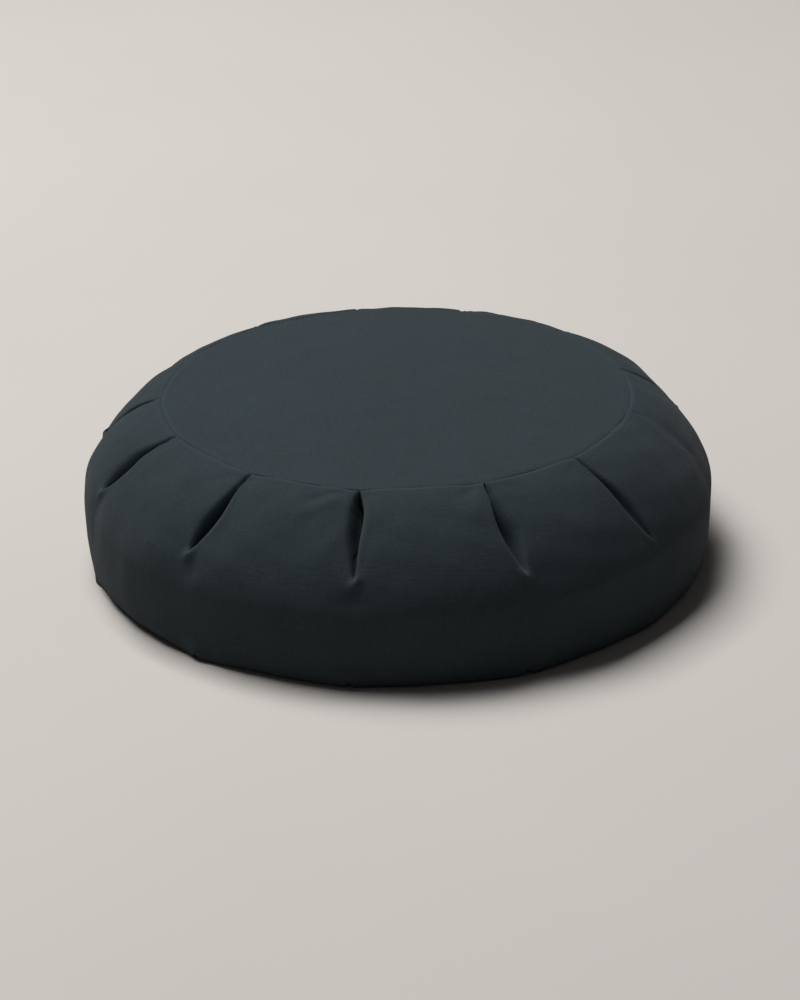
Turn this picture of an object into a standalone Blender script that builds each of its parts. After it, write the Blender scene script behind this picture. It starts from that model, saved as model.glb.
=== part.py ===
"""A zafu, the round pleated meditation cushion, lying flat on its base.

Two round panels, one on top and one underneath, are sewn to a long side band. The band is longer
than the seams that hold it, so it is taken up in thirteen pleats at the top seam and in thirteen
shorter ones at the base seam, straight below. Each pleat is shut at its seam, opens into a narrow
slit and ends in a small ridge above the girth.

Three solids: the band with the filling it holds, drawn in at both seams, and the two panels,
which are sheets of cloth lying in shallow seats in the band's top and bottom.

Frame: metres, +Z up. The origin is on the floor under the middle of the base panel. The front
faces -Y. A turn is an angle about +Z in degrees, 0 at the front and 90 at the right (+X).
"""

from collections import namedtuple
from math import cos, degrees, pi, radians, sin

import bmesh
import bpy
import numpy as np

MM = 0.001

# The band's section, from the top seam over the girth to the base seam.
TOP_SEAM_RADIUS = 152.5 * MM
TOP_SEAM_HEIGHT = 109.0 * MM
GIRTH_RADIUS = 203.0 * MM
GIRTH_HEIGHT = 50.0 * MM
FOOT_OUTER_RADIUS = 195.0 * MM
FOOT_INNER_RADIUS = 167.0 * MM
BASE_SEAM_RADIUS = 151.0 * MM
BASE_SEAM_HEIGHT = 4.0 * MM
SAMPLES_PER_ARC = 60
NEARBY = np.array((0.0, 1.0, -1.0)) * MM

# The panels, which are crowned on top and flat underneath.
CLOTH_THICKNESS = 1.5 * MM
GAP = 0.3 * MM
TOP_CROWN = 10.5 * MM

# The pleats, all the same but for what their table says.
SLIT_DEPTH = 7.0 * MM
SLIT_FULL_DEPTH_AT = 0.12
SLIT_NARROWEST = 0.45
SLIT_WIDEST_AT = 0.6
SLIT_CLOSING_POWER = 0.7
RIDGE_HEIGHT = 1.8 * MM
RIDGE_AT = 1.1
RIDGE_SPREAD = 0.09
RIDGE_HALF_WIDTHS = 2.0
BASE_SLIT_DEPTH = 4.0 * MM
GORE_SWELL = 1.5 * MM

# One row for each pleat and the gore of cloth that follows it, to its right.
#   turn        where the pleat leaves the top seam, degrees
#   lean        how far its lower end stands to the right of that, degrees
#   reach       its length down the band, mm
#   gape        its slit's width, lip to lip, mm
#   base_reach  length of the pleat below it, up from the base seam, mm
#   flatness    how straight the gore's top edge is: 0 follows the circle, 1 is a straight line
#   shoulder    how round the gore is above its girth, as the power of its section's curve
#   bulge       how far the gore's girth stands out past the mean, mm
#   fullness    how square the gore is below its girth, as the power of its section's curve
Pleat = namedtuple("Pleat", "turn lean reach gape base_reach flatness shoulder bulge fullness")
PLEATS = (
    Pleat(-90.0, -4.0, 50.0, 6.5, 60.0, 0.5, 1.50, 1.0, 5.4),
    Pleat(-65.5, -4.0, 55.0, 8.0, 64.0, 0.6, 1.50, 0.5, 5.6),
    Pleat(-36.0, -2.0, 57.0, 8.5, 68.0, 0.7, 1.45, 0.5, 5.2),
    Pleat(-8.8, 0.5, 56.0, 8.0, 66.0, 0.9, 1.45, 0.0, 4.6),
    Pleat(20.7, 2.0, 60.0, 7.5, 68.0, 0.7, 1.45, 0.0, 4.6),
    Pleat(47.7, 3.5, 58.0, 7.5, 64.0, 0.4, 1.45, 1.5, 4.8),
    Pleat(77.5, 3.0, 54.0, 6.5, 60.0, 0.4, 1.45, 2.5, 4.8),
    Pleat(104.5, 0.0, 52.0, 7.0, 58.0, 0.5, 1.55, 1.5, 4.8),
    Pleat(134.5, -1.5, 55.0, 7.5, 62.0, 0.6, 1.50, 0.0, 4.8),
    Pleat(162.5, 1.0, 56.0, 8.0, 66.0, 0.6, 1.45, 0.0, 4.8),
    Pleat(189.5, 1.5, 54.0, 7.5, 64.0, 0.6, 1.45, 0.0, 5.0),
    Pleat(217.0, -1.0, 57.0, 8.0, 62.0, 0.5, 1.35, 0.0, 5.0),
    Pleat(243.5, 2.0, 53.0, 7.0, 60.0, 0.5, 1.35, 0.5, 5.2),
)

# The columns that follow a slit: how far across, in half widths of the slit, and how deep.
SlitColumn = namedtuple("SlitColumn", "across depth")
SLIT_COLUMNS = (
    SlitColumn(-2.2, 0.0),
    SlitColumn(-1.0, 0.0),
    SlitColumn(-0.45, 0.85),
    SlitColumn(0.0, 1.0),
    SlitColumn(0.45, 0.85),
    SlitColumn(1.0, 0.0),
    SlitColumn(2.2, 0.0),
)
GORE_FRACTIONS = (0.25, 0.5, 0.75)

# The rows down the band, as fractions of the top pleat's reach, of the stretch between the
# pleats, and of the base pleat's reach counted up from the base seam.
TOP_ROWS = (0.0, 0.1, 0.27, 0.45, 0.62, 0.8, 1.0, RIDGE_AT)
MIDDLE_ROWS = (0.3, 0.6)
BASE_ROWS = (1.0, 0.8, 0.62, 0.42, 0.22, 0.0)
ROWS = tuple(("top", fraction) for fraction in TOP_ROWS)
ROWS += tuple(("middle", fraction) for fraction in MIDDLE_ROWS)
ROWS += tuple(("base", fraction) for fraction in BASE_ROWS)

TOP_PANEL_RINGS = (1.0, 0.75, 0.4)
BASE_PANEL_RINGS = (1.0, 0.84, 0.4)

CLOTH_COLOURS = {"side_band": "#3a4246", "top_panel": "#434c50", "base_panel": "#343b3f"}
CLOTH_ROUGHNESS = 0.9
SMOOTH_BELOW = radians(35.0)


def place(turn, radius, height):
    """The point at a turn (degrees), a radius and a height."""
    angle = radians(turn)
    return (radius * sin(angle), -radius * cos(angle), height)


def next_turn(index):
    """The turn of the pleat after the given one, a full turn on where the row of pleats closes."""
    if index + 1 < len(PLEATS):
        return PLEATS[index + 1].turn
    return PLEATS[0].turn + 360.0


def gore_middle(index):
    """The turn halfway along the gore that follows a pleat."""
    return (PLEATS[index].turn + next_turn(index)) / 2.0


def along_gores(column_name, turn):
    """A column of the table, blended smoothly between the middles of the gores on either side."""
    middles = [gore_middle(index) for index in range(len(PLEATS))]
    values = [getattr(pleat, column_name) for pleat in PLEATS]
    return float(np.interp(turn, middles, values, period=360.0))


def panel_corners():
    """Turn and seam radius of the top panel's corners: each pleat, and the points of each gore."""
    corners = []
    for index, pleat in enumerate(PLEATS):
        span = next_turn(index) - pleat.turn
        chord_sink = 1.0 - cos(radians(span / 2.0))
        for fraction in (0.0,) + GORE_FRACTIONS:
            bow = 4.0 * fraction * (1.0 - fraction)
            radius = TOP_SEAM_RADIUS * (1.0 - pleat.flatness * chord_sink * bow)
            corners.append((pleat.turn + fraction * span, radius))
    return corners


CORNERS = panel_corners()


def seam_radius(turn):
    """The top seam's radius at a turn, on the straight edges between the panel's corners."""
    turn = (turn - CORNERS[0][0]) % 360.0 + CORNERS[0][0]
    closed = CORNERS + [(CORNERS[0][0] + 360.0, CORNERS[0][1])]
    for (turn_a, radius_a), (turn_b, radius_b) in zip(closed, closed[1:]):
        if turn <= turn_b:
            break
    across_a = radius_a * sin(radians(turn - turn_a))
    across_b = radius_b * sin(radians(turn_b - turn))
    return radius_a * radius_b * sin(radians(turn_b - turn_a)) / (across_a + across_b)


def band_section(turn):
    """The band's section at a turn, before its pleats: radius, height and length run so far.

    Three stretches: a superellipse from the top seam out to the girth, another from the girth
    down to the foot, and the flat foot with the short slope that rises to the base seam.
    """
    seam = seam_radius(turn) * (1.0 + GAP / TOP_SEAM_RADIUS)
    base_seam = seam * BASE_SEAM_RADIUS / TOP_SEAM_RADIUS
    girth = GIRTH_RADIUS + along_gores("bulge", turn) * MM
    shoulder = along_gores("shoulder", turn)
    fullness = along_gores("fullness", turn)
    quarter = np.linspace(0.0, pi / 2.0, SAMPLES_PER_ARC)
    rise = TOP_SEAM_HEIGHT - GIRTH_HEIGHT
    shoulder_radius = seam + (girth - seam) * np.sin(quarter) ** (2.0 / shoulder)
    shoulder_height = GIRTH_HEIGHT + rise * np.cos(quarter) ** (2.0 / shoulder)
    undercut = girth - FOOT_OUTER_RADIUS
    flank_radius = FOOT_OUTER_RADIUS + undercut * np.cos(quarter) ** (2.0 / fullness)
    flank_height = GIRTH_HEIGHT * (1.0 - np.sin(quarter) ** (2.0 / fullness))
    radius = np.concatenate((shoulder_radius, flank_radius[1:], (FOOT_INNER_RADIUS, base_seam)))
    height = np.concatenate((shoulder_height, flank_height[1:], (0.0, BASE_SEAM_HEIGHT)))
    steps = np.hypot(np.diff(radius), np.diff(height))
    return radius, height, np.concatenate(((0.0,), np.cumsum(steps)))


def slit_half_width(gape, way):
    """Half a slit's width, a fraction `way` of its length from the seam."""
    way = min(max(way, 0.0), 1.0)
    power = np.log(0.5) / np.log(SLIT_WIDEST_AT)
    return gape / 2.0 * (SLIT_NARROWEST + (1.0 - SLIT_NARROWEST) * sin(pi * way**power))


def slit_depth(way):
    """How deep a slit is, from 0 to 1: nothing at its seam, soon full, and shut at its end."""
    opening = min(way / SLIT_FULL_DEPTH_AT, 1.0)
    closing = max(1.0 - way, 0.0) ** SLIT_CLOSING_POWER
    return opening * closing


def ridge(way):
    """How high the ridge past a slit's end is, from 0 to 1."""
    return float(np.exp(-(((way - RIDGE_AT) / RIDGE_SPREAD) ** 2)))


class Column:
    """One line of points down the band: along a pleat, or down the cloth between two pleats."""

    def __init__(self, index, slit=None, fraction=0.0):
        self.pleat = PLEATS[index]
        self.slit = slit
        self.fraction = fraction
        self.span = next_turn(index) - self.pleat.turn
        following = PLEATS[(index + 1) % len(PLEATS)]
        blend = fraction if slit is None else 0.0
        self.reach = (self.pleat.reach * (1.0 - blend) + following.reach * blend) * MM
        self.base_reach = (self.pleat.base_reach * (1.0 - blend) + following.base_reach * blend) * MM
        self.lean = self.pleat.lean * (1.0 - blend) + following.lean * blend

    def turn(self, way, half_width):
        """The column's turn where the slit is `half_width` wide and `way` of its length down."""
        lean = self.lean * sin(pi / 2.0 * min(way, 2.0))
        if self.slit is None:
            return self.pleat.turn + self.fraction * self.span + lean
        across = self.slit.across * half_width
        return self.pleat.turn + lean + degrees(across / TOP_SEAM_RADIUS)

    def distance(self, stretch, fraction, length):
        """How far down a section of the given length a row lies."""
        if stretch == "top":
            return fraction * self.reach
        if stretch == "base":
            return length - fraction * self.base_reach
        top_end = TOP_ROWS[-1] * self.reach
        return top_end + fraction * (length - self.base_reach - top_end)

    def point(self, stretch, fraction):
        """A point of the band's surface, with its slit, its ridge or its swell worked in."""
        length = band_section(self.turn(0.0, 0.0))[2][-1]
        distance = self.distance(stretch, fraction, length)
        way = distance / self.reach
        base_way = (length - distance) / self.base_reach
        half_width = slit_half_width(self.pleat.gape * MM, min(way, base_way))
        turn = self.turn(way, half_width)
        radius, height, run = band_section(turn)
        distance = self.distance(stretch, fraction, run[-1])
        at_radius, ahead_radius, behind_radius = np.interp(distance + NEARBY, run, radius)
        at_height, ahead_height, behind_height = np.interp(distance + NEARBY, run, height)
        slope = np.array((ahead_radius - behind_radius, ahead_height - behind_height))
        slope /= np.hypot(*slope)
        lift = self.lift(way, base_way)
        return place(turn, at_radius - lift * slope[1], max(at_height + lift * slope[0], 0.0))

    def lift(self, way, base_way):
        """How far the surface stands out from the plain section, at right angles to it."""
        if self.slit is None:
            bow = 4.0 * self.fraction * (1.0 - self.fraction)
            return GORE_SWELL * bow * sin(pi * min(way / 2.0, 1.0))
        sunk = SLIT_DEPTH * slit_depth(way) + BASE_SLIT_DEPTH * slit_depth(base_way)
        raised = RIDGE_HEIGHT * ridge(way) * max(1.0 - abs(self.slit.across) / RIDGE_HALF_WIDTHS, 0.0)
        return raised - sunk * self.slit.depth


def band_columns():
    """All the band's columns in order round the cushion, and which of them are panel corners."""
    columns = []
    corners = []
    for index in range(len(PLEATS)):
        for slit in SLIT_COLUMNS:
            if slit.across >= 0.0:
                continue
            columns.append(Column(index, slit=slit))
        corners.append(len(columns))
        for slit in SLIT_COLUMNS:
            if slit.across >= 0.0:
                columns.append(Column(index, slit=slit))
        for fraction in GORE_FRACTIONS:
            corners.append(len(columns))
            columns.append(Column(index, fraction=fraction))
    return columns, corners


def top_height(fraction):
    """Height of the top panel's upper side, a fraction of the way out from its middle."""
    return TOP_SEAM_HEIGHT + TOP_CROWN * (1.0 - fraction**2)


def base_height(fraction):
    """Height of the base panel's underside: flat on the floor, drawn up at the seam alone."""
    return BASE_SEAM_HEIGHT if fraction == 1.0 else 0.0


def corner_ring(scale, height):
    """The panel's corners as a ring, scaled towards the middle."""
    return [place(turn, radius * scale, height) for turn, radius in CORNERS]


def skin(bm, ring, following):
    """Two triangles between each pair of neighbours in two rings of the same count.

    Rings run from the middle of the top, out over the girth and in again to the middle of the
    base, so that every face looks out.
    """
    count = len(ring)
    for index in range(count):
        ahead = (index + 1) % count
        bm.faces.new((ring[index], following[index], following[ahead]))
        bm.faces.new((ring[index], following[ahead], ring[ahead]))


def skin_uneven(bm, coarse, fine, corners, inward):
    """Triangles between a ring of panel corners and a rim that has more points between them.

    `corners` holds the rim's index for each corner. `inward` turns the faces for the underside.
    """
    for index, start in enumerate(corners):
        ahead = (index + 1) % len(corners)
        stop = corners[ahead] if ahead else corners[0] + len(fine)
        for step in range(start, stop):
            rim_a = fine[step % len(fine)]
            rim_b = fine[(step + 1) % len(fine)]
            add_face(bm, (coarse[index], rim_a, rim_b), inward)
        add_face(bm, (coarse[index], fine[stop % len(fine)], coarse[ahead]), inward)


def add_face(bm, points, inward):
    """A face with the given corners, or with their order turned round."""
    bm.faces.new(tuple(reversed(points)) if inward else points)


def fan(bm, ring, middle, inward):
    """Triangles from a ring to one point in its middle."""
    for index, point in enumerate(ring):
        add_face(bm, (middle, point, ring[(index + 1) % len(ring)]), inward)


def add_ring(bm, points):
    """New vertices at the given points."""
    return [bm.verts.new(point) for point in points]


def at_height(points, height):
    """The same points, all at one height."""
    return [(point[0], point[1], height) for point in points]


def build_band():
    """The pleated side band with its filling, and a seat for a panel in its top and base."""
    bm = bmesh.new()
    columns, corners = band_columns()
    rows = [[column.point(*row) for column in columns] for row in ROWS]
    spread = 1.0 + GAP / TOP_SEAM_RADIUS
    base_spread = spread * BASE_SEAM_RADIUS / TOP_SEAM_RADIUS
    drop = CLOTH_THICKNESS + GAP

    top_rings = [add_ring(bm, corner_ring(fraction * spread, top_height(fraction) - drop))
                 for fraction in reversed(TOP_PANEL_RINGS[1:])]
    top_rim = add_ring(bm, at_height(rows[0], top_height(1.0) - drop))
    outside = [add_ring(bm, row) for row in rows]
    base_rim = add_ring(bm, at_height(rows[-1], base_height(1.0) + drop))
    base_rings = [add_ring(bm, corner_ring(fraction * base_spread, base_height(fraction) + drop))
                  for fraction in BASE_PANEL_RINGS[1:]]

    fan(bm, top_rings[0], bm.verts.new((0.0, 0.0, top_height(0.0) - drop)), inward=False)
    for ring, following in zip(top_rings, top_rings[1:]):
        skin(bm, ring, following)
    skin_uneven(bm, top_rings[-1], top_rim, corners, inward=False)
    outer_rings = [top_rim] + outside + [base_rim]
    for ring, following in zip(outer_rings, outer_rings[1:]):
        skin(bm, ring, following)
    skin_uneven(bm, base_rings[0], base_rim, corners, inward=True)
    for ring, following in zip(base_rings, base_rings[1:]):
        skin(bm, ring, following)
    fan(bm, base_rings[-1], bm.verts.new((0.0, 0.0, base_height(0.0) + drop)), inward=True)
    return finish_object(bm, "side_band")


def build_panel(name, scale, fractions, upper_height, lower_height):
    """A round sheet of cloth with the seam's corners, between two heights given by functions."""
    bm = bmesh.new()
    upper = [add_ring(bm, corner_ring(fraction * scale, upper_height(fraction)))
             for fraction in reversed(fractions)]
    lower = [add_ring(bm, corner_ring(fraction * scale, lower_height(fraction)))
             for fraction in fractions]
    rings = upper + lower
    for ring, following in zip(rings, rings[1:]):
        skin(bm, ring, following)
    fan(bm, rings[0], bm.verts.new((0.0, 0.0, upper_height(0.0))), inward=False)
    fan(bm, rings[-1], bm.verts.new((0.0, 0.0, lower_height(0.0))), inward=True)
    return finish_object(bm, name)


def build_top_panel():
    """The crowned top panel."""
    return build_panel("top_panel", 1.0, TOP_PANEL_RINGS, top_height,
                       lambda fraction: top_height(fraction) - CLOTH_THICKNESS)


def build_base_panel():
    """The base panel, flat on the floor but for the edge that its seam draws up."""
    return build_panel("base_panel", BASE_SEAM_RADIUS / TOP_SEAM_RADIUS, BASE_PANEL_RINGS,
                       lambda fraction: base_height(fraction) + CLOTH_THICKNESS, base_height)


def linear_colour(hex_colour):
    """An sRGB colour such as #3a4246 as the linear red, green, blue and alpha of a shader."""
    channels = [int(hex_colour[start:start + 2], 16) / 255.0 for start in (1, 3, 5)]
    linear = [value / 12.92 if value <= 0.04045 else ((value + 0.055) / 1.055) ** 2.4
              for value in channels]
    return (*linear, 1.0)


def cloth_material(name):
    """Matt dark slate cotton, in the tone that the piece shows."""
    material = bpy.data.materials.new(name + "_cotton")
    material.use_nodes = True
    shader = material.node_tree.nodes["Principled BSDF"]
    shader.inputs["Base Color"].default_value = linear_colour(CLOTH_COLOURS[name])
    shader.inputs["Roughness"].default_value = CLOTH_ROUGHNESS
    shader.inputs["Metallic"].default_value = 0.0
    return material


def finish_object(bm, name):
    """Turn a finished bmesh into a named object with its cloth, shaded smooth."""
    mesh = bpy.data.meshes.new(name)
    bm.to_mesh(mesh)
    bm.free()
    mesh.shade_smooth()
    mesh.set_sharp_from_angle(angle=SMOOTH_BELOW)
    mesh.materials.append(cloth_material(name))
    piece = bpy.data.objects.new(name, mesh)
    bpy.context.collection.objects.link(piece)
    return piece


def main():
    """Clear the scene and build the three pieces."""
    for leftover in list(bpy.data.objects):
        bpy.data.objects.remove(leftover)
    build_band()
    build_top_panel()
    build_base_panel()


main()
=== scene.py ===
"""Looks of the zafu: a round, pleated meditation cushion in dark slate cotton canvas.

Three pieces stand for the three CAD nodes: the pleated side band with its filling, the crowned
top panel and the base panel. Each is a grid of points worked out as whole arrays, in metres, in
the CAD frame: +Z up, the front facing -Y. A turn is an angle about +Z in degrees, 0 at the front
and 90 at the right (+X). A way is a fraction of a pleat's length, 0 at its seam and 1 at its end.
"""

import bpy
import numpy as np
from mathutils import Matrix, Vector


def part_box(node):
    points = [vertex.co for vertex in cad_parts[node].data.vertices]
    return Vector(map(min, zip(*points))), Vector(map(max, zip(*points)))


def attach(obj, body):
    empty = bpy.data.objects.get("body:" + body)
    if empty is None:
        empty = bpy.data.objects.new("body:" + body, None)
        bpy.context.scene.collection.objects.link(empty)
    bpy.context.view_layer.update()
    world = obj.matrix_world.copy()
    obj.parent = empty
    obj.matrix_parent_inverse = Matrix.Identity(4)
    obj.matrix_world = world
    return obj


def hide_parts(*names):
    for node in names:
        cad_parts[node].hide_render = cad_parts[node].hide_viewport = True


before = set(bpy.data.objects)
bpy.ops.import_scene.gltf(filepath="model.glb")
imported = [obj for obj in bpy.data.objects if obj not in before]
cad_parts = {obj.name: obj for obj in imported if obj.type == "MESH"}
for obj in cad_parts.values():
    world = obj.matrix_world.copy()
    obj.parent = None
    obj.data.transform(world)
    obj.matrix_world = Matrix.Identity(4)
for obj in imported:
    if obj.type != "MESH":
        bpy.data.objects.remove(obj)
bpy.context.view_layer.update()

MM = 0.001
BODY = "root"

# ------------------------------------------------------------------ main sizes

# Read from the frame. The CAD panels are 1.5 mm thick, and their outer sides give the crown.
CAD_CLOTH = 1.5 * MM
band_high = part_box("side_band")[1]
top_low, top_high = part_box("top_panel")
base_low, base_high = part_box("base_panel")
SEAM_HEIGHT = top_low[2] + CAD_CLOTH
CROWN = top_high[2] - SEAM_HEIGHT
SEAM_RADIUS = -top_low[0]
GIRTH_RADIUS = band_high[1] - 0.2 * MM
BASE_SEAM_RADIUS = -base_low[0]
BASE_SEAM_HEIGHT = base_high[2] - CAD_CLOTH

# The band's section below its girth, with how far the foot stands out at its corners as a share
# of its radius, and the run from the base seam to the foot.
GIRTH_HEIGHT = 50.0 * MM
FOOT_OUTER_RADIUS = 195.0 * MM
FOOT_INNER_RADIUS = 167.0 * MM
FOOT_CORNER = 0.020
FOOT_RUN = 50.0 * MM
CLEAR_OF_FLOOR = 0.2 * MM

# How far the whole top seam lies to the back.
SEAM_SHIFT = 3.2 * MM

# ------------------------------------------------------------------ the pleats

# One row for each pleat and the gore of cloth that follows it, to its right. Turns and leans are
# in degrees.
#   turn, lean       where it leaves the top seam, and how far to the right of that it ends
#   reach, gape      its length down the band, and its width from lip to lip, mm
#   widest, drawn    the way at which it is widest, and how deep it is drawn, 1 in full
#   sharp            the side its sharp lip is on, 1 the right and -1 the left
#   base_lean        how far to the right the base pleat below it stands
#   base_reach       the base pleat's length up from the base seam, mm
#   flatness         how straight the gore's top edge is, from 0, the circle, to 1, a chord
#   foot_flatness    the same for its foot, between base pleats
#   shoulder         how round the gore is above its girth, 2 an ellipse and 1 a straight slope
#   bulge            how far its girth stands out past the band's, mm
#   fullness         how square it is below its girth, 2 an ellipse and more a squarer curve
COLUMNS = ("turn", "lean", "reach", "gape", "widest", "drawn", "sharp", "base_lean", "base_reach",
           "flatness", "foot_flatness", "shoulder", "bulge", "fullness")
PLEATS = np.array((
    (-90.0, -4.0, 54.0, 6.0, 0.60, 1.00, -1.0, -12.0, 52.0, 0.15, 0.60, 1.72, 1.5, 3.9),
    (-65.5, -4.8, 64.0, 9.4, 0.64, 1.00, 1.0, -10.0, 50.0, 0.45, 1.05, 1.60, 1.5, 3.4),
    (-36.3, -3.8, 65.0, 6.8, 0.66, 1.00, 1.0, -2.0, 58.0, 0.55, 1.00, 1.45, 0.5, 2.7),
    (-8.7, 1.0, 64.0, 7.4, 0.36, 1.00, 1.0, 0.0, 58.0, 0.75, 0.70, 1.45, 0.0, 2.5),
    (20.7, 2.2, 67.0, 8.0, 0.64, 0.92, -1.0, 2.0, 60.0, 0.50, 0.60, 1.45, 0.0, 2.5),
    (46.5, 5.3, 74.0, 6.6, 0.68, 0.34, -1.0, 6.0, 56.0, 0.20, 0.50, 1.45, 1.5, 2.8),
    (77.5, 3.0, 60.0, 14.0, 0.50, 0.04, -1.0, 3.0, 52.0, 0.12, 0.50, 1.45, 3.5, 3.7),
    (104.5, 0.0, 56.0, 4.5, 0.55, 0.70, -1.0, 0.0, 50.0, 0.30, 0.60, 1.60, 2.5, 3.6),
    (134.5, -1.5, 61.0, 6.4, 0.62, 1.00, -1.0, -2.0, 54.0, 0.50, 0.70, 1.60, 0.0, 3.5),
    (162.5, 1.0, 62.0, 6.8, 0.45, 1.00, -1.0, 1.0, 58.0, 0.50, 0.60, 1.50, 0.0, 3.5),
    (189.5, 1.5, 59.0, 6.4, 0.62, 1.00, 1.0, 2.0, 56.0, 0.50, 0.70, 1.45, 0.0, 3.6),
    (217.0, -1.0, 63.0, 6.8, 0.50, 1.00, 1.0, -1.0, 54.0, 0.45, 0.60, 1.35, 0.0, 3.6),
    (243.5, 2.0, 58.0, 6.0, 0.60, 0.90, 1.0, 2.0, 52.0, 0.35, 0.60, 1.40, 0.5, 3.7),
))
PLEAT = {name: PLEATS[:, index] for index, name in enumerate(COLUMNS)}
PLEAT_COUNT = len(PLEATS)
GORE_MIDDLE = PLEAT["turn"] + np.diff(PLEAT["turn"], append=PLEAT["turn"][0] + 360.0) / 2.0

# Folds that the gathers drag in the cloth: from a turn and a run down from the seam in mm, to
# another turn and run, with height, below 0 for a crease, and half width in mm.
DRAG_FOLDS = (
    (-10.6, 1.0, -23.0, 21.0, -0.9, 2.6),
    (-10.0, 5.0, -22.0, 30.0, 0.9, 4.0),
    (-9.8, 24.0, -15.0, 60.0, 0.7, 5.0),
    (19.5, 1.0, 12.0, 15.0, -0.6, 2.4),
    (20.0, 6.0, 14.0, 34.0, 0.7, 4.5),
    (22.0, 2.0, 30.0, 16.0, -0.4, 2.8),
    (-34.5, 2.0, -27.0, 22.0, 0.6, 4.0),
    (-37.0, 3.0, -46.0, 20.0, -0.4, 3.0),
    (-64.0, 3.0, -56.0, 24.0, 0.5, 4.0),
    (46.5, 2.0, 39.0, 18.0, -0.5, 3.0),
    (-15.0, 76.0, 3.0, 78.0, -0.9, 9.0),
    (-35.0, 66.0, -12.0, 72.0, -0.2, 8.0),
    (26.0, 72.0, 50.0, 66.0, -0.2, 8.0),
    (-2.0, 30.0, 8.0, 52.0, 0.4, 7.0),
    (30.0, 24.0, 38.0, 56.0, 0.4, 7.0),
    (-24.0, 40.0, -18.0, 58.0, -0.4, 6.0),
    (-38.8, 66.0, -38.0, 82.0, -0.8, 3.8),
    (100.0, 2.0, 92.0, 20.0, -0.5, 3.0),
    (136.0, 2.0, 146.0, 22.0, -0.6, 3.0),
    (161.0, 3.0, 152.0, 24.0, 0.6, 4.0),
    (191.0, 2.0, 201.0, 20.0, -0.6, 3.0),
    (215.5, 3.0, 206.0, 26.0, 0.6, 4.0),
    (245.0, 2.0, 254.0, 20.0, -0.5, 3.0),
)

# Top pleats: the tuck drawn into the band, the lips and the valley round it, and the ridge and dip
# that end it. Widths here are half widths.
TUCK_DEPTH = 14.0 * MM
TUCK_RUN_IN = 5.0 * MM
TUCK_SLIDE = 2.6 * MM
SLIT_NARROWEST = 0.2
SLIT_NECK_WAY = 0.28
SLIT_NECK_SHARE = 0.3
PLEAT_WANDER = 0.22
LIP_HEIGHT = 0.7 * MM
SOFT_LIP_SHARE = 0.35
VALLEY_DEPTH = 1.4 * MM
VALLEY_WIDTH = 7.0 * MM
RIDGE_HEIGHT = 2.3 * MM
RIDGE_WIDTH = 3.2 * MM
RIDGE_START = 1.0 * MM
RIDGE_CROSSING = 28.0 * MM
DIP_SHARE = 0.4
DIP_WIDTH = 10.0 * MM

# How a tuck's wall falls away from its slit's middle: its width as a share of the slit's, and a
# power, higher for a steeper wall.
SHARP_WALL = (0.8, 6.0)
SOFT_WALL = (0.92, 5.0)

# Base pleats are shallower, and a base pleat keeps this share of a top one's lips and ridge.
BASE_TUCK_DEPTH = 4.5 * MM
BASE_RIDGE_WIDTH = 6.0 * MM
BASE_PLEAT_SHARE = 0.6

# The filling's swell in each gore, its unevenness, and the cloth's faint rumpling.
GORE_SWELL = 2.0 * MM
UNEVEN_HEIGHT = 0.6 * MM
TOP_WAVE_HEIGHT = 0.9 * MM
RUMPLE_SLOPE = 0.013
RUMPLE_LENGTHS = np.linspace(14.0, 46.0, 16) * MM
RUMPLE_SEED = 7

# Seams and stitches.
SEAM_SINK = 0.6 * MM
SEAM_WIDTH = 1.0 * MM
SEAM_ROLL = 0.15 * MM
SEAM_GAP = 0.05 * MM
STITCH_PITCH = 3.6 * MM
PUCKER_HEIGHT = 0.16 * MM
PUCKER_REACH = 2.6 * MM
BASE_RIM_HEIGHT = 0.8 * MM

# Where the band is shut in, out of sight under a panel.
UNDER_PANEL_SHARE = 0.985
UNDER_PANEL_DROP = 2.4 * MM
UNDER_PANEL_MIDDLE = 4.0 * MM

# The canvas: its thickness, its threads' spacing, the sizes of its nap and its fading, how far
# threads and noise are drawn into the relief, and the relief's own height and strength.
CLOTH_THICKNESS = 1.2 * MM
THREAD = 1.15 * MM
THREAD_WANDER = 0.9 * MM
THREAD_STRETCH = 0.08
NAP_SIZE = 2.0 * MM
FADING_SIZE = 45.0 * MM
WEAVE_RELIEF = 0.45
GRAIN_RELIEF = 1.9
RELIEF_HEIGHT = 0.25 * MM
RELIEF_STRENGTH = 0.28

# Darker and lighter yarn, the painted shade in the hollows between threads, faded and rubbed yarn,
# and the board the cushion lies on.
YARN_DARK = "#272f33"
YARN_LIGHT = "#30393e"
# Painted shade: a darker yarn colour for the hollows between threads.
YARN_PAINTED_HOLLOW_SHADE = "#1c2225"
YARN_FADED = "#353f43"
YARN_RUBBED = "#465156"
BOARD_DARK = "#bdb8b3"
BOARD_LIGHT = "#c2bdb8"

# Names of the cloth's own coordinates and of how far it is rubbed, and how far it is rubbed along
# the seams and on the pleats' lips and ridges.
CLOTH_UV = "cloth"
RUBBED = "rubbed"
SEAM_RUB = 0.2
PLEAT_RUB = 0.45

# ------------------------------------------------------------------ small helpers


def ease(value):
    """A smooth step: 0 below 0, 1 above 1, 3v^2 - 2v^3 between."""
    value = np.clip(value, 0.0, 1.0)
    return value * value * (3.0 - 2.0 * value)


def hump(value, middle, width):
    """A bell of height 1: e to the power of minus the squared distance over the squared width."""
    return np.exp(-(((value - middle) / width) ** 2))


def along_gores(name, turn):
    """A column of the table at any turn: straight blends between the middles of the gores."""
    return np.interp(turn, GORE_MIDDLE, PLEAT[name], period=360.0)


def turn_apart(turn, other):
    """The turn from one to the other, between -180 and 180 degrees."""
    return (turn - other + 180.0) % 360.0 - 180.0


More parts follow.
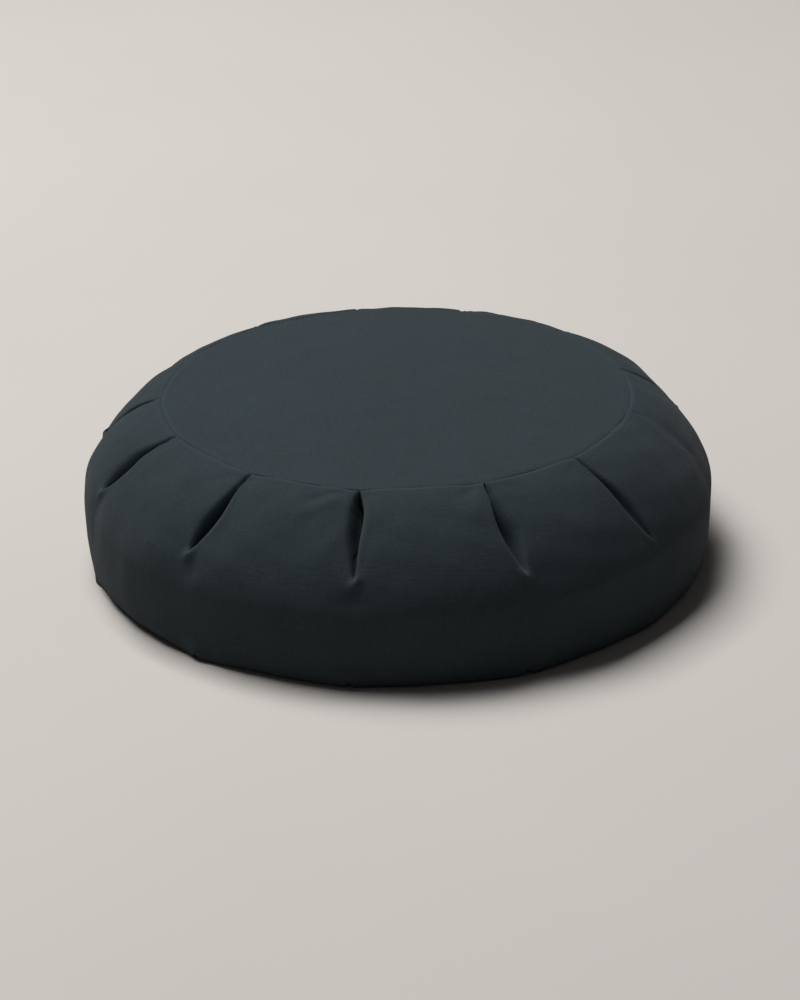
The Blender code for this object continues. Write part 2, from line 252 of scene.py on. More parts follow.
def flattened(turn, corners, flatness):
    """A circle of radius 1 whose arcs between corners are flattened, as a radius at each turn.

    1 minus flatness times the sink of a straight chord, times a parabola from corner to corner.
    """
    turn = (turn - corners[0]) % 360.0 + corners[0]
    index = np.searchsorted(corners, turn, side="right") - 1
    span = np.diff(corners, append=corners[0] + 360.0)
    fraction = (turn - corners[index]) / span[index]
    sink = 1.0 - np.cos(np.radians(span[index] / 2.0))
    return 1.0 - flatness[index] * sink * 4.0 * fraction * (1.0 - fraction)


def seam_radius(turn):
    """Radius of the top seam at a turn: flat between pleats, and a little to the back as a whole."""
    outline = flattened(turn, PLEAT["turn"], PLEAT["flatness"])
    return SEAM_RADIUS * outline - SEAM_SHIFT * np.cos(np.radians(turn))


def base_seam_radius(turn):
    """Radius of the base seam at a turn."""
    return BASE_SEAM_RADIUS * flattened(turn, PLEAT["turn"], PLEAT["flatness"])


def foot_radius(turn):
    """Radius at which the side meets the floor: it stands out at each base pleat, flat between."""
    outline = flattened(turn, PLEAT["turn"] + PLEAT["base_lean"], PLEAT["foot_flatness"])
    return FOOT_OUTER_RADIUS * (1.0 + FOOT_CORNER) * outline


def points(turn, radius, height):
    """Points from turns, radii and heights, as an array with x, y, z last."""
    angle = np.radians(turn)
    x, y, z = np.broadcast_arrays(radius * np.sin(angle), -radius * np.cos(angle), height)
    return np.stack((x, y, z), axis=-1)


# ------------------------------------------------------------------ the band's grid

LIP_COLUMNS = 11
GORE_COLUMNS = 42

# Rows down the band: ways down the top pleats, shares of the stretch between the top and the base
# pleats, and ways up the base pleats, counted from the base seam.
TOP_WAYS = np.concatenate((
    0.1 * np.linspace(0.0, 1.0, 10) ** 1.8,
    np.linspace(0.125, 1.2, 46),
    np.linspace(1.23, 1.35, 4),
))
MIDDLE_SHARES = np.linspace(0.0, 1.0, 10)[1:-1]
BASE_WAYS = np.concatenate((np.linspace(1.15, 0.1, 27), 0.08 * np.linspace(1.0, 0.0, 7) ** 1.6))


def column_layout():
    """Where each column stands in its gore, from the pleat on its left to the one on its right.

    Gives the gore's number, the share of the slit's half width at the left and the right lip
    (under 1 inside a slit), and the share of the stretch from lip to lip.
    """
    inside = np.linspace(0.0, 1.0, LIP_COLUMNS + 1)[:-1]
    even = np.linspace(0.0, 1.0, GORE_COLUMNS + 1)
    between = 0.45 * even + 0.55 * (0.5 - 0.5 * np.cos(np.pi * even))
    outside = np.ones(LIP_COLUMNS - 1)
    left = np.concatenate((inside, np.ones(GORE_COLUMNS + 1), outside))
    right = np.concatenate((np.ones(LIP_COLUMNS), np.ones(GORE_COLUMNS + 1), inside[:0:-1]))
    share = np.concatenate((np.zeros(LIP_COLUMNS), between, outside))
    gore = np.repeat(np.arange(PLEAT_COUNT), len(share))
    return (gore,) + tuple(np.tile(part, PLEAT_COUNT) for part in (left, right, share))


def section_point(turn, place):
    """Radius and height of the plain band, before pleats, at a turn and a place along its section.

    Place 0 to 1 is a superellipse quarter from the top seam to the girth, 1 to 2 a squarer one
    from the girth to the foot, 2 to 3 the flat foot, 3 to 4 the rise to the base seam.
    """
    seam = seam_radius(turn) + SEAM_GAP
    base_seam = base_seam_radius(turn) + SEAM_GAP
    foot_edge = foot_radius(turn)
    girth = GIRTH_RADIUS + along_gores("bulge", turn) * MM
    upper = np.clip(place, 0.0, 1.0) * np.pi / 2.0
    lower = np.clip(place - 1.0, 0.0, 1.0) * np.pi / 2.0
    foot = np.clip(place - 2.0, 0.0, 1.0)
    rise = np.clip(place - 3.0, 0.0, 1.0)
    power = 2.0 / along_gores("shoulder", turn)
    upper_radius = seam + (girth - seam) * np.sin(upper) ** power
    upper_height = GIRTH_HEIGHT + (SEAM_HEIGHT - GIRTH_HEIGHT) * np.cos(upper) ** power
    power = 2.0 / along_gores("fullness", turn)
    lower_radius = foot_edge + (girth - foot_edge) * np.cos(lower) ** power
    lower_height = GIRTH_HEIGHT * (1.0 - np.sin(lower) ** power)
    flat_radius = foot_edge + (FOOT_INNER_RADIUS - foot_edge) * foot
    rise_radius = FOOT_INNER_RADIUS + (base_seam - FOOT_INNER_RADIUS) * rise
    zones = (place < 1.0, place < 2.0, place < 3.0)
    radius = np.select(zones, (upper_radius, lower_radius, flat_radius), rise_radius)
    height = np.select(zones, (upper_height, lower_height, 0.0 * foot), BASE_SEAM_HEIGHT * ease(rise))
    return radius, height


def section_run():
    """Many places along a middling section, with the length run to each and its radius there."""
    place = np.linspace(0.0, 4.0, 4001)
    radius, height = section_point(np.full_like(place, 5.0), place)
    run = np.concatenate(((0.0,), np.cumsum(np.hypot(np.diff(radius), np.diff(height)))))
    return place, run, radius


def slit_width(way, gape, widest):
    """Half a slit's width: a sine of the way to a power that puts its widest point where it is.

    Under the seam it stays a narrow neck, with one small opening in it.
    """
    power = np.log(0.5) / np.log(widest)
    neck = SLIT_NECK_SHARE + (1.0 - SLIT_NECK_SHARE) * ease(way / SLIT_NECK_WAY)
    wave = neck * np.sin(np.pi * np.clip(way, 0.0, 1.0) ** power) ** 1.2 + 0.1 * hump(way, 0.13, 0.04)
    return gape / 2.0 * (SLIT_NARROWEST + (1.0 - SLIT_NARROWEST) * wave)


def tuck_depth(way, length):
    """How deep a tuck is: shallow at its seam, full within a few millimetres, nothing at its end."""
    run_in = ease(way * length / TUCK_RUN_IN)
    return run_in * (1.0 - np.clip(way, 0.0, 1.0) ** 3.5) ** 0.8


def tuck_share(way, length, across, width, sharp):
    """How far into a tuck the cloth is, 0 to 1: its depth there times 1 / (1 + (across / width)^n).

    The wall under the sharp lip is steep, and the one across from it slopes.
    """
    wall_width = np.where(sharp, SHARP_WALL[0], SOFT_WALL[0]) * width
    wall_power = np.where(sharp, SHARP_WALL[1], SOFT_WALL[1])
    return tuck_depth(way, length) / (1.0 + (across / wall_width) ** wall_power)


def pleat_relief(way, across, width, sharp, ridge_width):
    """How far the cloth round a pleat stands out (+) or in (-), apart from its tuck.

    A rolled lip on each side in a shallow valley, and past the end a small ridge that crosses
    from the sharp side to the soft one, with a dip below it.
    """
    open_part = np.sin(np.pi * np.clip(way, 0.0, 1.0) ** 0.8)
    lips = np.where(sharp, 1.0, SOFT_LIP_SHARE) * LIP_HEIGHT * open_part
    lips = lips * hump(across, 1.8 * width, width)
    valley = VALLEY_DEPTH * ease(way / 0.12) * ease((1.0 - way) / 0.4)
    valley = valley * np.exp(-((across / VALLEY_WIDTH) ** 1.2))
    side = np.where(sharp, across, -across)
    crossing = RIDGE_START - RIDGE_CROSSING * (way - 1.0)
    ridge = RIDGE_HEIGHT * hump(way, 1.02, 0.075) * hump(side, crossing, ridge_width)
    dip = DIP_SHARE * RIDGE_HEIGHT * hump(way, 1.2, 0.12) * hump(across, 0.0, DIP_WIDTH)
    return lips + ridge - valley - dip


def rumples(across, down):
    """Faint rumpling of worn cloth: a sum of plane waves at seeded angles, 14 to 46 mm long."""
    chance = np.random.default_rng(RUMPLE_SEED)
    lift = np.zeros(np.broadcast(across, down).shape)
    for length in RUMPLE_LENGTHS:
        angle, phase = chance.uniform(0.0, 2.0 * np.pi, 2)
        wave = (across * np.cos(angle) + down * np.sin(angle)) * 2.0 * np.pi / length + phase
        lift += RUMPLE_SLOPE * length / (2.0 * np.pi) * np.sin(wave)
    return lift


def drag_folds(turn, run, about):
    """Shallow folds that the gathers pull in the cloth: bells across straight lines, from a table.

    Along its line each fold rises and falls as the sine of the share of the way along it.
    """
    lift = np.zeros_like(run)
    for turn_a, run_a, turn_b, run_b, height, width in DRAG_FOLDS:
        across = np.radians(turn_apart(turn, turn_a)) * about
        down = run - run_a * MM
        step_across = np.radians(turn_b - turn_a) * about
        step_down = (run_b - run_a) * MM
        length = np.hypot(step_across, step_down)
        along = (across * step_across + down * step_down) / length**2
        off = (across * step_down - down * step_across) / length
        lift += height * MM * np.sin(np.pi * np.clip(along, 0.0, 1.0)) ** 1.2 * hump(off, 0.0, width * MM)
    return lift


def unevenness(turn, place):
    """Slow, shallow waves of the filling under the cloth, as a sum of a few sines."""
    angle = np.radians(turn)
    waves = (
        np.sin(2.0 * angle + 0.7 + 0.4 * place)
        + 0.8 * np.sin(5.0 * angle + 2.1 - 1.1 * place)
        + 0.6 * np.sin(9.0 * angle + 0.3 + 2.3 * place)
        + 0.4 * np.sin(17.0 * angle + 1.2 + 3.1 * place)
    )
    return UNEVEN_HEIGHT * waves * np.sin(np.pi * np.clip(place / 2.0, 0.0, 1.0)) ** 0.5


def stitch_puckers(turn, radius, distance):
    """The small puckers that a seam's stitches leave, dying out over a few millimetres."""
    wave = np.cos(np.radians(turn) * radius * 2.0 * np.pi / STITCH_PITCH)
    return PUCKER_HEIGHT * wave * np.exp(-distance / PUCKER_REACH)


def seam_groove(distance):
    """The sunk seam, with a low roll of cloth beside it, at a distance from the stitches."""
    groove = SEAM_SINK * np.exp(-distance / SEAM_WIDTH)
    return SEAM_ROLL * hump(distance, 3.2 * MM, 1.5 * MM) - groove


def band_runs(gore, share, length):
    """The run down from the top seam at each row and column, and the reach of pleats there.

    Rows keep to the same ways down and up the pleats. From one pleat to the next their reaches
    blend in a straight line.
    """
    following = (gore + 1) % PLEAT_COUNT
    part = np.clip(share, 0.0, 1.0)
    reach = (PLEAT["reach"][gore] * (1.0 - part) + PLEAT["reach"][following] * part) * MM
    base_reach = PLEAT["base_reach"][gore] * (1.0 - part) + PLEAT["base_reach"][following] * part
    top_run = TOP_WAYS[:, None] * reach
    base_run = length - BASE_WAYS[:, None] * (base_reach * MM)
    middle_run = top_run[-1] + MIDDLE_SHARES[:, None] * (base_run[0] - top_run[-1])
    return np.concatenate((top_run, middle_run, base_run)), reach


def pleat_lines(index, run, length):
    """Ways, base ways, middle turns and half widths, at the runs, of pleats with given numbers.

    A pleat's line leans by the way to the power 1.4 and wanders a little in a sine. Past its end
    it eases over to the base pleat's place at the foot.
    """
    reach = PLEAT["reach"][index] * MM
    way = run / reach
    base_way = (length - run) / (PLEAT["base_reach"][index] * MM)
    lean = PLEAT["lean"][index] * np.clip(way, 0.0, 1.0) ** 1.4
    to_foot = (run - reach) / (length - FOOT_RUN - reach)
    lean = lean + (PLEAT["base_lean"][index] - PLEAT["lean"][index]) * ease(to_foot)
    lean = lean + PLEAT_WANDER * np.sin(7.0 * way + 2.1 * index) * hump(way, 0.5, 0.35)
    width = slit_width(np.minimum(way, base_way), PLEAT["gape"][index] * MM, PLEAT["widest"][index])
    return way, base_way, PLEAT["turn"][index] + lean, width


def outward_and_along(plain):
    """Unit vectors out of the plain band, and along it to the right, at each point of its grid."""
    down = np.gradient(plain, axis=0)
    along = np.roll(plain, -1, axis=1) - np.roll(plain, 1, axis=1)
    outward = np.cross(down, along)
    outward /= np.linalg.norm(outward, axis=2, keepdims=True)
    return outward, along / np.linalg.norm(along, axis=2, keepdims=True)


def gore_swell(gore, run, reach, fraction):
    """How far the filling swells each gore: a bow from pleat to pleat, times a rise and fall.

    Across, the bow is a parabola where pleats pull, with a crease at each, and a sine squared,
    with none, where they don't. Down, it is a quarter of a sine and then a smooth step.
    """
    following = (gore + 1) % PLEAT_COUNT
    pulled = PLEAT["drawn"][gore] * (1.0 - fraction) + PLEAT["drawn"][following] * fraction
    bow = pulled * 4.0 * fraction * (1.0 - fraction) + (1.0 - pulled) * np.sin(np.pi * fraction) ** 2
    rise = np.sin(np.pi / 2.0 * np.clip(run / (0.85 * reach), 0.0, 1.0))
    return GORE_SWELL * bow * rise * (1.0 - ease((run / reach - 0.85) / 1.3))


def beside_pleat(index, side, way, base_way, across, width):
    """How far the cloth on one side of the pleats stands out, slides and is rubbed.

    Side is 1 to the right of a pleat and -1 to its left. The walls slide under the sharp lip.
    """
    drawn = PLEAT["drawn"][index]
    sharp = PLEAT["sharp"][index] * side > 0.0
    tuck = tuck_share(way, PLEAT["reach"][index] * MM, across, width, sharp)
    lift = drawn * (pleat_relief(way, across, width, sharp, RIDGE_WIDTH) - TUCK_DEPTH * tuck)
    slide = drawn * PLEAT["sharp"][index] * TUCK_SLIDE * tuck
    lip = hump(across, 1.25 * width, 0.5 * width) * np.sin(np.pi * np.clip(way, 0.0, 1.0))
    ridge = hump(way, 1.02, 0.06) * hump(across, 0.0, RIDGE_WIDTH)
    base_tuck = tuck_share(base_way, PLEAT["base_reach"][index] * MM, across, width, sharp)
    relief = pleat_relief(base_way, across, width, sharp, BASE_RIDGE_WIDTH)
    lift = lift + drawn * (BASE_PLEAT_SHARE * relief - BASE_TUCK_DEPTH * base_tuck)
    return lift, slide, drawn * PLEAT_RUB * (lip + ridge)


def band_grid():
    """The band's outside as rows of points from the top seam to the base seam.

    Its cloth UVs, in metres, and how far each point is rubbed come with it. Within a gore the
    weave runs straight down. Past the pleats' ends it joins up round the band.
    """
    gore, left, right, share = column_layout()
    following = (gore + 1) % PLEAT_COUNT
    place_table, run_table, radius_table = section_run()
    length = run_table[-1]
    run, reach = band_runs(gore, share, length)
    place = np.interp(run, run_table, place_table)
    about = np.interp(run, run_table, radius_table)

    way_l, base_l, turn_l, width_l = pleat_lines(gore, run, length)
    way_r, base_r, turn_r, width_r = pleat_lines(following, run, length)
    turn_r = turn_r + np.where(following == 0, 360.0, 0.0)
    start = turn_l + np.degrees(width_l * left / about)
    stop = turn_r - np.degrees(width_r * right / about)
    turn = start + share * (stop - start)
    across_l = np.radians(turn - turn_l) * about
    across_r = np.radians(turn_r - turn) * about
    fraction = across_l / (across_l + across_r)

    lift = gore_swell(gore, run, reach, fraction) + unevenness(turn, place)
    lift = lift + drag_folds(turn, run, about) + rumples(np.radians(turn) * GIRTH_RADIUS, run)
    lift_l, slide_l, rub_l = beside_pleat(gore, 1.0, way_l, base_l, across_l, width_l)
    lift_r, slide_r, rub_r = beside_pleat(following, -1.0, way_r, base_r, across_r, width_r)
    lift = lift + lift_l + lift_r
    lift = lift + seam_groove(run) + stitch_puckers(turn, SEAM_RADIUS, run)
    lift = lift + seam_groove(length - run) + stitch_puckers(turn, BASE_SEAM_RADIUS, length - run)
    slide = slide_l + slide_r
    rub = SEAM_RUB * hump(run, 1.5 * MM, 1.2 * MM) + rub_l + rub_r

    plain = points(turn, *section_point(turn, place))
    outward, along = outward_and_along(plain)
    shaped = plain + lift[..., None] * outward + slide[..., None] * along
    shaped[..., 2] = np.maximum(shaped[..., 2], CLEAR_OF_FLOOR)

    middle = (turn_l + turn_r) / 2.0
    in_gore = np.radians(middle) * GIRTH_RADIUS + np.radians(turn - middle) * about
    at_girth = np.radians(turn) * GIRTH_RADIUS
    spread = ease((way_l * (1.0 - fraction) + way_r * fraction - 0.8) / 0.4)
    gathered = in_gore + spread * (at_girth - in_gore)
    return shaped, np.stack((gathered, -run), axis=-1), rub


# ------------------------------------------------------------------ making meshes

PANEL_COLUMNS = 936
PANEL_MIDDLE_ROWS = 26
PANEL_EDGE_ROWS = 16
CLOSING_ROWS = 3


def grid_faces(rows, columns):
    """Quads between neighbouring rows of a grid whose rows close on themselves, facing out."""
    row, column = np.meshgrid(np.arange(rows - 1), np.arange(columns), indexing="ij")
    ahead = (column + 1) % columns
    quads = (row * columns + column, (row + 1) * columns + column,
             (row + 1) * columns + ahead, row * columns + ahead)
    return np.stack(quads, axis=-1).reshape(-1, 4)


def put_uvs(mesh, ring_uvs, quad_corners, columns, wrap):
    """Give every face corner its cloth coordinates; the last column of quads runs on, not back."""
    uvs = np.concatenate((ring_uvs.reshape(-1, 2), np.zeros((2, 2))))
    corners = np.empty(len(mesh.loops), dtype=np.int32)
    mesh.loops.foreach_get("vertex_index", corners)
    values = uvs[corners]
    number = np.arange(len(corners))
    in_last = (number < quad_corners) & ((number // 4) % columns == columns - 1)
    values[in_last & np.isin(number % 4, (2, 3)), 0] += wrap
    layer = mesh.uv_layers.new(name=CLOTH_UV)
    layer.data.foreach_set("uv", values.astype(np.float32).ravel())


def closed_mesh(name, rings, top, bottom, ring_uvs, ring_rub, wrap=0.0):
    """A closed mesh from rings of points, shut by a fan at each end, with cloth UVs in metres.

    How far each point is rubbed, from 0 to 1, is kept with it for the material.
    """
    rows, columns = rings.shape[:2]
    vertices = np.concatenate((rings.reshape(-1, 3), (top, bottom)))
    quads = grid_faces(rows, columns)
    column = np.arange(columns)
    ahead = (column + 1) % columns
    count = rows * columns
    last = count - columns
    upper = np.stack((np.full(columns, count), column, ahead), axis=-1)
    lower = np.stack((np.full(columns, count + 1), last + ahead, last + column), axis=-1)
    mesh = bpy.data.meshes.new(name)
    mesh.from_pydata(vertices.tolist(), [], quads.tolist() + upper.tolist() + lower.tolist())
    put_uvs(mesh, ring_uvs, quads.size, columns, wrap)
    rubbed = mesh.attributes.new(RUBBED, "FLOAT", "POINT")
    values = np.append(np.clip(ring_rub, 0.0, 1.0), (0.0, 0.0))
    rubbed.data.foreach_set("value", values.astype(np.float32))
    mesh.shade_smooth()
    mesh.update()
    piece = bpy.data.objects.new(name, mesh)
    bpy.context.scene.collection.objects.link(piece)
    return piece


# ------------------------------------------------------------------ the three pieces


def closing_rings(edge, middle):
    """Rings that shut the band out of sight under a panel, in a parabola from its edge inwards."""
    share = np.linspace(1.0, 0.0, CLOSING_ROWS + 2)[1:-1, None]
    flat = edge[None, :, :2] * share[..., None]
    height = middle + (edge[None, :, 2] - middle) * share**2
    return np.concatenate((flat, height[..., None]), axis=-1)


def build_band():
    """The side band with its filling: the pleated outside, shut in under the two panels."""
    outside, uvs, rub = band_grid()
    inwards = (UNDER_PANEL_SHARE, UNDER_PANEL_SHARE, 1.0)
    top_edge = outside[0] * inwards - (0.0, 0.0, UNDER_PANEL_DROP)
    base_edge = outside[-1] * inwards + (0.0, 0.0, UNDER_PANEL_DROP)
    top_middle = SEAM_HEIGHT + CROWN - UNDER_PANEL_MIDDLE
    base_middle = UNDER_PANEL_MIDDLE
    above = np.concatenate((closing_rings(top_edge, top_middle)[::-1], top_edge[None]))
    below = np.concatenate((base_edge[None], closing_rings(base_edge, base_middle)))
    rings = np.concatenate((above, outside, below))
    above_uvs = np.repeat(uvs[:1], len(above), axis=0)
    below_uvs = np.repeat(uvs[-1:], len(below), axis=0)
    ring_uvs = np.concatenate((above_uvs, uvs, below_uvs))
    hidden = np.zeros((len(above), rub.shape[1]))
    ring_rub = np.concatenate((hidden, rub, hidden[: len(below)]))
    ends = ((0.0, 0.0, top_middle), (0.0, 0.0, base_middle))
    full_turn = 2.0 * np.pi * GIRTH_RADIUS
    return closed_mesh("zafu_side_band", rings, *ends, ring_uvs, ring_rub, full_turn)


def build_panel(name, radius_at, height_at):
    """A round sheet, from its seam's radius at a turn and its height at a share and a turn.

    Share is the distance from the middle over the seam's radius there, and the underside lies a
    cloth's thickness below the upper side.
    """
    turn = np.linspace(-90.0, 270.0, PANEL_COLUMNS, endpoint=False)
    edge_shares = 1.0 - 0.08 * np.linspace(1.0, 0.0, PANEL_EDGE_ROWS) ** 1.5
    middle_shares = np.linspace(0.04, edge_shares[0] - 0.02, PANEL_MIDDLE_ROWS)
    shares = np.concatenate((middle_shares, edge_shares))
    under_shares = shares[::-1][np.r_[0:PANEL_EDGE_ROWS:3, PANEL_EDGE_ROWS:len(shares):4]]
    outline = radius_at(turn)
    upper = points(turn, shares[:, None] * outline, height_at(shares[:, None], turn))
    lower = points(turn, under_shares[:, None] * outline, height_at(under_shares[:, None], turn))
    lower[..., 2] -= CLOTH_THICKNESS
    rings = np.concatenate((upper, lower))
    rings[..., 2] = np.maximum(rings[..., 2], CLEAR_OF_FLOOR)
    middle = float(height_at(np.zeros(1), np.zeros(1))[0])
    under = max(middle - CLOTH_THICKNESS, CLEAR_OF_FLOOR)
    rub = SEAM_RUB * hump(np.concatenate((shares, under_shares)), 0.99, 0.008)
    ring_rub = np.repeat(rub[:, None], PANEL_COLUMNS, axis=1)
    return closed_mesh(name, rings, (0.0, 0.0, middle), (0.0, 0.0, under), rings[..., :2], ring_rub)


def top_panel_height(share, turn):
    """The crown, a parabola, with slow waves, the sunk seam and its puckers at the edge."""
    distance = (1.0 - share) * SEAM_RADIUS
    angle = np.radians(turn)
    waves = (
        0.5 * np.sin(2.0 * angle + 0.9) * share**2
        + 0.35 * np.sin(3.0 * angle - 0.4) * share**3
        + 0.4 * np.cos(5.0 * share * np.cos(angle - 0.6) + 0.5)
    )
    height = SEAM_HEIGHT + CROWN * (1.0 - share**2) + TOP_WAVE_HEIGHT * waves * (1.0 - share**8)
    out = share * SEAM_RADIUS
    height = height + 0.8 * rumples(out * np.sin(angle), out * np.cos(angle)) * (1.0 - share**8)
    return height + seam_groove(distance) + stitch_puckers(turn, SEAM_RADIUS, distance)


def base_panel_height(share, turn):
    """Flat on the floor but for the edge, which the base seam draws up."""
    drawn_up = BASE_SEAM_HEIGHT * ease((share - 0.84) / 0.16)
    distance = (1.0 - share) * BASE_SEAM_RADIUS
    puckers = stitch_puckers(turn, BASE_SEAM_RADIUS, distance)
    rim = BASE_RIM_HEIGHT * np.exp(-distance / SEAM_WIDTH)
    return CLOTH_THICKNESS + drawn_up + rim + puckers


# ------------------------------------------------------------------ materials


def linear(code):
    """An sRGB hex colour as linear red, green, blue and an alpha of 1."""
    values = np.array([int(code[index:index + 2], 16) for index in (1, 3, 5)]) / 255.0
    low = values / 12.92
    high = ((values + 0.055) / 1.055) ** 2.4
    return tuple(np.where(values <= 0.04045, low, high)) + (1.0,)


def add(tree, kind, inputs=None, **settings):
    """Add a node, set its properties, and give its inputs values or links from other sockets."""
    node = tree.nodes.new(kind)
    for name, value in settings.items():
        setattr(node, name, value)
    for name, value in (inputs or {}).items():
        if isinstance(value, bpy.types.NodeSocket):
            tree.links.new(value, node.inputs[name])
        else:
            node.inputs[name].default_value = value
    return node


def new_material(name):
    """An empty node material with its output."""
    material = bpy.data.materials.new(name)
    material.use_nodes = True
    material.node_tree.nodes.clear()
    return material, material.node_tree, add(material.node_tree, "ShaderNodeOutputMaterial")


def slate_canvas():
    """Piece-dyed cotton canvas, plain woven: matt, dark slate, a shade lighter where it is rubbed.

    Canvas of this weight has about 16 threads to the centimetre. They are drawn about twice as
    coarse, 1.15 mm apart, to show at this distance. The weave is the product of two sines, one
    hump to a thread, and every thread varies in thickness through noise drawn out along it.
    """
    material, tree, output = new_material("slate_cotton_canvas_woven")
    cloth = add(tree, "ShaderNodeUVMap", uv_map=CLOTH_UV).outputs["UV"]
    place = add(tree, "ShaderNodeTexCoord").outputs["Object"]
    uneven = add(tree, "ShaderNodeTexNoise", {"Vector": place, "Scale": 130.0, "Detail": 1.0})
    wobble = {0: uneven.outputs["Color"], 1: (THREAD_WANDER, THREAD_WANDER, 0.0), 2: cloth}
    woven = add(tree, "ShaderNodeVectorMath", wobble, operation="MULTIPLY_ADD").outputs["Vector"]

    half_turns = {0: woven, 1: (np.pi / THREAD, np.pi / THREAD, 1.0)}
    angles = add(tree, "ShaderNodeVectorMath", half_turns, operation="MULTIPLY").outputs["Vector"]
    sines = add(tree, "ShaderNodeVectorMath", {0: angles}, operation="SINE").outputs["Vector"]
    axes = add(tree, "ShaderNodeSeparateXYZ", {"Vector": sines}).outputs
    humps = add(tree, "ShaderNodeMath", {0: axes["X"], 1: axes["Y"]}, operation="MULTIPLY").outputs[0]
    weave = add(tree, "ShaderNodeMath", {0: humps}, operation="ABSOLUTE").outputs[0]

    fine = {"Detail": 2.0, "Roughness": 0.6}
    drawn = []
    for stretch in ((1.0, THREAD_STRETCH, 1.0), (THREAD_STRETCH, 1.0, 1.0)):
        along = add(tree, "ShaderNodeMapping", {"Vector": woven, "Scale": stretch}).outputs["Vector"]
        blobs = {"Vector": along, "Scale": 0.9 / THREAD, **fine}
        drawn.append(add(tree, "ShaderNodeTexNoise", blobs).outputs["Fac"])
    slub = add(tree, "ShaderNodeMath", {0: drawn[0], 1: drawn[1]}, operation="ADD").outputs[0]
    blobs = {"Vector": place, "Scale": 1.0 / NAP_SIZE, **fine}
    nap = add(tree, "ShaderNodeTexNoise", blobs).outputs["Fac"]
    blobs = {"Vector": place, "Scale": 1.0 / FADING_SIZE, "Detail": 3.0, "Roughness": 0.6}
    mottle = add(tree, "ShaderNodeTexNoise", blobs).outputs["Fac"]

    yarn = add(tree, "ShaderNodeMath", {0: slub, 1: 0.7, 2: nap}, operation="MULTIPLY_ADD").outputs[0]
    shade = add(tree, "ShaderNodeMapRange", {"Value": yarn, "From Min": 0.80, "From Max": 1.60}).outputs[0]
    # Painted shade: the hollows between the threads are mixed a little towards a darker yarn colour.
    painted_hollow_shade = add(tree, "ShaderNodeMapRange", {"Value": weave, "To Min": 0.06, "To Max": 0.0}).outputs[0]
    fading = add(tree, "ShaderNodeMapRange", {"Value": mottle, "To Max": 0.30}).outputs[0]
    rubbed = add(tree, "ShaderNodeAttribute", attribute_name=RUBBED).outputs["Fac"]
    wear = add(tree, "ShaderNodeMapRange", {"Value": rubbed, "To Max": 0.5}).outputs[0]
    colour = linear(YARN_DARK)
    shown = (YARN_LIGHT, YARN_PAINTED_HOLLOW_SHADE, YARN_FADED, YARN_RUBBED)
    for factor, code in zip((shade, painted_hollow_shade, fading, wear), shown):
        blend = {0: factor, 6: colour, 7: linear(code)}
        colour = add(tree, "ShaderNodeMix", blend, data_type="RGBA").outputs[2]

    grain = add(tree, "ShaderNodeMath", {0: slub, 1: nap}, operation="ADD").outputs[0]
    threads = add(tree, "ShaderNodeMath", {0: weave, 1: WEAVE_RELIEF}, operation="MULTIPLY").outputs[0]
    relief = {0: grain, 1: GRAIN_RELIEF, 2: threads}
    relief = add(tree, "ShaderNodeMath", relief, operation="MULTIPLY_ADD").outputs[0]
    bump = {"Strength": RELIEF_STRENGTH, "Distance": RELIEF_HEIGHT, "Height": relief}
    roughness = add(tree, "ShaderNodeMapRange", {"Value": weave, "To Min": 0.98, "To Max": 0.86}).outputs[0]
    shader = add(tree, "ShaderNodeBsdfPrincipled", {
        "Base Color": colour,
        "Roughness": roughness,
        "Normal": add(tree, "ShaderNodeBump", bump).outputs["Normal"],
        "Specular IOR Level": 0.12,
        "Sheen Weight": 0.03,
        "Sheen Roughness": 0.55,
    })
    tree.links.new(shader.outputs["BSDF"], output.inputs["Surface"])
    return material


def studio_floor():
    """A smooth, painted board: pale warm grey, matt, with the faintest unevenness of a roller."""
    material, tree, output = new_material("pale_painted_board")
    place = add(tree, "ShaderNodeTexCoord").outputs["Object"]
    roller = add(tree, "ShaderNodeTexNoise", {"Vector": place, "Scale": 3.0, "Detail": 3.0}).outputs["Fac"]
    blend = {0: roller, 6: linear(BOARD_DARK), 7: linear(BOARD_LIGHT)}
    shader = add(tree, "ShaderNodeBsdfPrincipled", {
        "Base Color": add(tree, "ShaderNodeMix", blend, data_type="RGBA").outputs[2],
        "Roughness": 0.9,
        "Specular IOR Level": 0.2,
    })
    tree.links.new(shader.outputs["BSDF"], output.inputs["Surface"])
    return material


# ------------------------------------------------------------------ putting it together

band = build_band()
top_panel = build_panel("zafu_top_panel", seam_radius, top_panel_height)
base_panel = build_panel("zafu_base_panel", base_seam_radius, base_panel_height)

canvas = slate_canvas()
for piece, node in ((band, "side_band"), (top_panel, "top_panel"), (base_panel, "base_panel")):
    piece.data.materials.append(canvas)
    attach(piece, BODY)
    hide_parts(node)

# ------------------------------------------------------------------ floor, light and camera

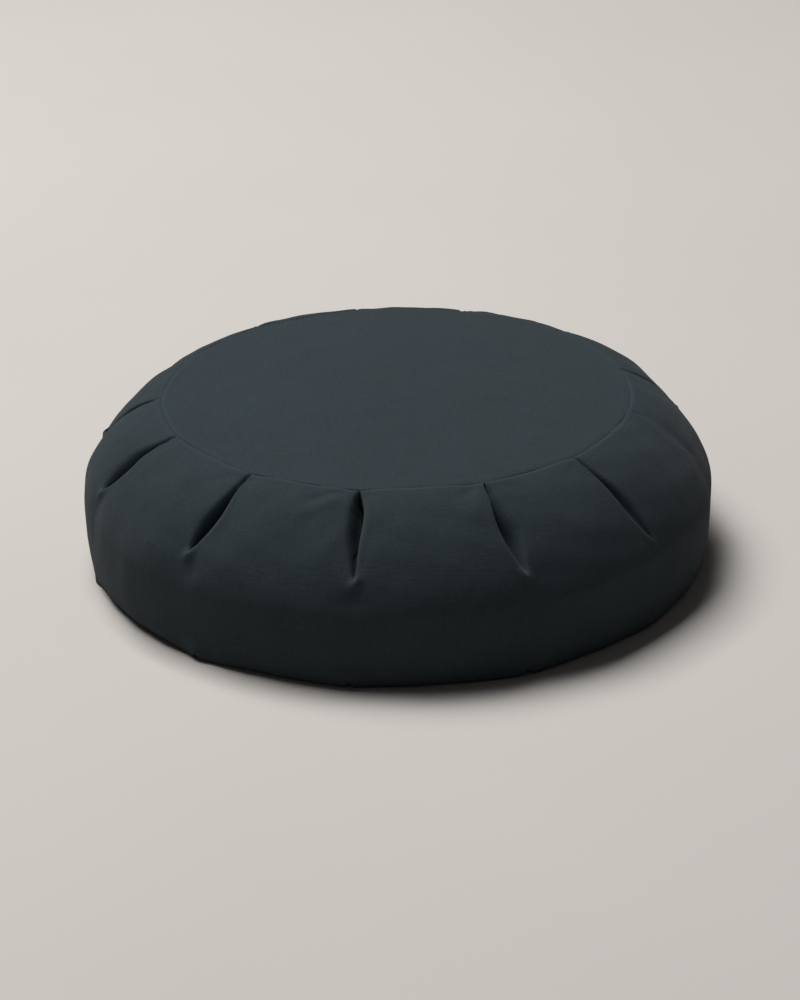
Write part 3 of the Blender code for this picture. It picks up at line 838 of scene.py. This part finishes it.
FLOOR_HALF = 7.0
KEY_PLACE = (-1.2, 1.0, 3.95)
KEY_TARGET = (0.0, 0.0, 0.05)
KEY_SIZE = 2.4
KEY_POWER = 241.0
KEY_COLOUR = "#ffffff"
SKY_COLOUR = "#f6f7f8"
SKY_STRENGTH = 0.058
CAMERA_PLACE = (0.0, -1.671, 0.811)
CAMERA_DOWN = np.radians(24.97)
CAMERA_RIGHT = np.radians(0.07)
CAMERA_ROLL = np.radians(-0.77)
SENSOR_WIDTH = 36.0
FOCAL_LENGTH = 100.35

floor_corners = [
    (-FLOOR_HALF, -FLOOR_HALF, 0.0),
    (FLOOR_HALF, -FLOOR_HALF, 0.0),
    (FLOOR_HALF, FLOOR_HALF, 0.0),
    (-FLOOR_HALF, FLOOR_HALF, 0.0),
]
floor_mesh = bpy.data.meshes.new("studio_floor")
floor_mesh.from_pydata(floor_corners, [], [(0, 1, 2, 3)])
floor_mesh.materials.append(studio_floor())
floor = bpy.data.objects.new("studio_floor", floor_mesh)
bpy.context.scene.collection.objects.link(floor)

key = bpy.data.lights.new("key", "AREA")
key.shape = "SQUARE"
key.size = KEY_SIZE
key.energy = KEY_POWER
key.color = linear(KEY_COLOUR)[:3]
softbox = bpy.data.objects.new("key", key)
softbox.location = KEY_PLACE
softbox.rotation_euler = (Vector(KEY_TARGET) - Vector(KEY_PLACE)).to_track_quat("-Z", "Y").to_euler()
bpy.context.scene.collection.objects.link(softbox)

world = bpy.data.worlds.new("studio")
world.use_nodes = True
sky = world.node_tree.nodes["Background"].inputs
sky["Color"].default_value = linear(SKY_COLOUR)
sky["Strength"].default_value = SKY_STRENGTH
bpy.context.scene.world = world
bpy.context.scene.view_settings.view_transform = "Standard"

lens = bpy.data.cameras.new("camera")
lens.sensor_width = SENSOR_WIDTH
lens.lens = FOCAL_LENGTH
camera = bpy.data.objects.new("camera", lens)
looking = Matrix.Rotation(-CAMERA_RIGHT, 4, "Z") @ Matrix.Rotation(np.pi / 2.0 - CAMERA_DOWN, 4, "X")
camera.matrix_world = Matrix.Translation(CAMERA_PLACE) @ looking @ Matrix.Rotation(CAMERA_ROLL, 4, "Z")
bpy.context.scene.collection.objects.link(camera)
bpy.context.scene.camera = camera

# ------------------------------------------------------------------ a box's corners as lists, and the end


def corners(box):
    """A box's two corners as plain lists of numbers."""
    return [[float(value) for value in corner] for corner in box]
